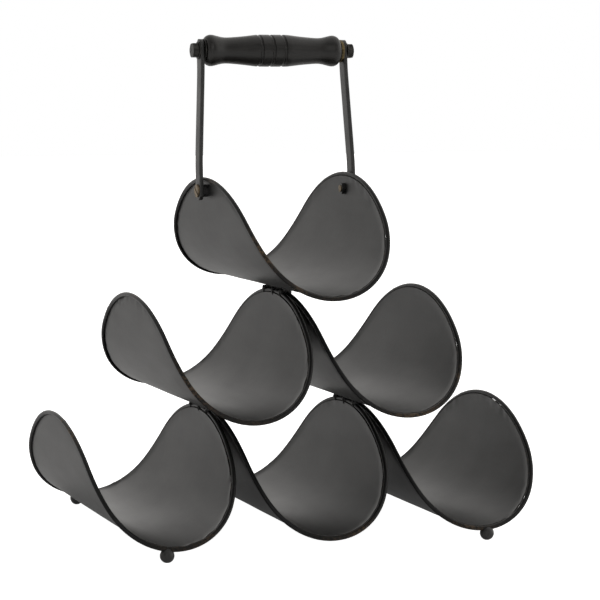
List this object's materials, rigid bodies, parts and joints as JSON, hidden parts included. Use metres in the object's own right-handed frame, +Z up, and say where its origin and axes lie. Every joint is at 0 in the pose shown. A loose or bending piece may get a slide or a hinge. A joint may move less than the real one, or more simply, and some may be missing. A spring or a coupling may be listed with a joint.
{
  "type": "wine rack",
  "caption": "Stacked wine rack of bent oval steel cradles with wire rims and ball feet, and a swinging carry handle with a turned wooden grip.",
  "frame": {"origin": "on the surface the rack stands on, below the middle of its bounding box", "axes": "+X along a row of bottles, -Y the side the bottle necks point to, +Z up"},
  "size_m": [0.3438, 0.2494, 0.3628],
  "materials": {
    "sheet_steel": "satin black powder coat",
    "rim_wire": "satin black powder coat with brown rub-through on the high edge",
    "feet": "satin black powder coat",
    "weld": "black paint over rough weld",
    "pivot_steel": "satin black",
    "screw_head": "antique brown, worn",
    "handle_arm": "satin black powder coat",
    "grip_hardware": "blackened steel",
    "end_washer": "dull aged brass",
    "grip_wood": "black stain, soft sheen"
  },
  "bodies": {
    "rack": {"bottom_cradle_left": "sheet_steel", "bottom_rim_left": "rim_wire", "bottom_cradle_centre": "sheet_steel", "bottom_rim_centre": "rim_wire", "bottom_cradle_right": "sheet_steel", "bottom_rim_right": "rim_wire", "middle_cradle_left": "sheet_steel", "middle_rim_left": "rim_wire", "middle_cradle_right": "sheet_steel", "middle_rim_right": "rim_wire", "top_cradle": "sheet_steel", "top_rim": "rim_wire", "foot_front_left": "feet", "foot_back_left": "feet", "foot_front_right": "feet", "foot_back_right": "feet", "middle_weld_left": "weld", "middle_weld_right": "weld", "top_weld": "weld", "pivot_spacer_left": "pivot_steel", "pivot_nut_left": "pivot_steel", "pivot_screw_left": "screw_head", "pivot_spacer_right": "pivot_steel", "pivot_nut_right": "pivot_steel", "pivot_screw_right": "screw_head"},
    "handle": {"handle_arm_left": "handle_arm", "bolt_washer_left": "grip_hardware", "end_washer_left": "end_washer", "handle_arm_right": "handle_arm", "bolt_washer_right": "grip_hardware", "end_washer_right": "end_washer", "grip_bolt": "grip_hardware", "grip_nut": "grip_hardware"},
    "grip": {"grip": "grip_wood"}
  },
  "joints": [
    {"name": "handle_swing", "type": "hinge", "parent": "rack", "child": "handle", "pos_m": [0, 0, 0.2483], "axis": [1, 0, 0], "range_deg": [-95, 105]},
    {"name": "grip_spin", "type": "hinge", "parent": "handle", "child": "grip", "pos_m": [0, 0.00894, 0.35051], "axis": [1, 0, 0], "continuous": true}
  ]
}
